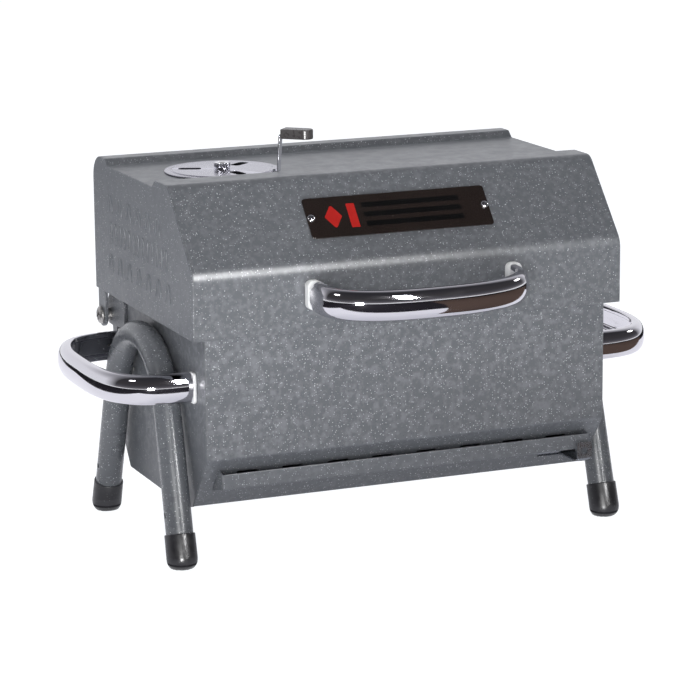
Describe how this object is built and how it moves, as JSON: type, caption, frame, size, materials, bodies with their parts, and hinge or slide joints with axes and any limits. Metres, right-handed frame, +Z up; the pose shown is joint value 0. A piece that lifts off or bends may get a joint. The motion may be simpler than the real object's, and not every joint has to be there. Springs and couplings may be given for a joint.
{
  "type": "portable tabletop charcoal grill",
  "caption": "Tabletop charcoal grill: speckled steel firebox on arched tube legs, hinged lid with round vent and chrome handles, louvred air inlet with a slide.",
  "frame": {"origin": "centre of the whole grill's outline on the table surface, under the feet", "axes": "+Z up, -Y towards the front with the lid handle, +X to the right of someone facing the front"},
  "size_m": [0.5602, 0.3416, 0.3788],
  "materials": {
    "speckled_coat": "speckled semi-gloss powder coat",
    "chrome": "polished",
    "nickel": "bright plated",
    "plain_steel": "zinc plated",
    "grate_steel": "bare",
    "rubber": "matte",
    "white_plastic": "matte",
    "grip_plastic": "satin",
    "nameplate": "glossy"
  },
  "bodies": {
    "firebox": {"firebox_wrap": "speckled_coat", "firebox_end_left": "speckled_coat", "firebox_end_right": "speckled_coat", "air_louvre": "speckled_coat", "slide_guide_left": "grate_steel", "slide_guide_right": "grate_steel", "grid_rail_front": "grate_steel", "grid_rail_rear": "grate_steel", "hinge_leaf_left": "speckled_coat", "hinge_leaf_right": "speckled_coat", "hinge_screw_left": "plain_steel", "hinge_screw_right": "plain_steel", "hinge_bush_left": "plain_steel", "hinge_bush_right": "plain_steel", "leg_left": "speckled_coat", "leg_right": "speckled_coat", "foot_rear_left": "rubber", "leg_bolt_rear_left": "plain_steel", "side_spacer_rear_left": "white_plastic", "side_screw_rear_left": "plain_steel", "foot_front_left": "rubber", "leg_bolt_front_left": "plain_steel", "side_spacer_front_left": "white_plastic", "side_screw_front_left": "plain_steel", "side_handle_left": "chrome", "foot_rear_right": "rubber", "leg_bolt_rear_right": "plain_steel", "side_spacer_rear_right": "white_plastic", "side_screw_rear_right": "plain_steel", "foot_front_right": "rubber", "leg_bolt_front_right": "plain_steel", "side_spacer_front_right": "white_plastic", "side_screw_front_right": "plain_steel", "side_handle_right": "chrome", "charcoal_grate": "grate_steel", "cooking_grid": "chrome"},
    "lid": {"lid_wrap": "speckled_coat", "lid_end_left": "speckled_coat", "lid_end_right": "speckled_coat", "nameplate": "nameplate", "nameplate_screw_left": "plain_steel", "nameplate_screw_right": "plain_steel", "front_handle": "chrome", "front_spacer_left": "white_plastic", "front_spacer_right": "white_plastic", "front_handle_screw_left": "plain_steel", "front_handle_screw_right": "plain_steel", "hinge_bracket_left": "speckled_coat", "hinge_bracket_right": "speckled_coat", "vent_stud": "nickel"},
    "vent": {"vent_disc": "nickel", "vent_lever": "nickel", "vent_grip": "grip_plastic", "vent_rivet": "nickel", "vent_nut": "nickel", "vent_washer": "nickel"},
    "slide": {"air_slide": "grate_steel", "air_slide_tab": "nickel"}
  },
  "joints": [
    {"name": "lid_hinge", "type": "hinge", "parent": "firebox", "child": "lid", "pos_m": [0, 0.15934, 0.1881], "axis": [-1, 0, 0], "range_deg": [0, 100]},
    {"name": "vent_turn", "type": "hinge", "parent": "lid", "child": "vent", "pos_m": [-0.122, 0.05484, 0.3364], "axis": [0, 0, 1], "range_deg": [0, 45]},
    {"name": "air_slide_move", "type": "slide", "parent": "firebox", "child": "slide", "axis": [-1, 0, 0], "range_m": [0, 0.022]}
  ]
}
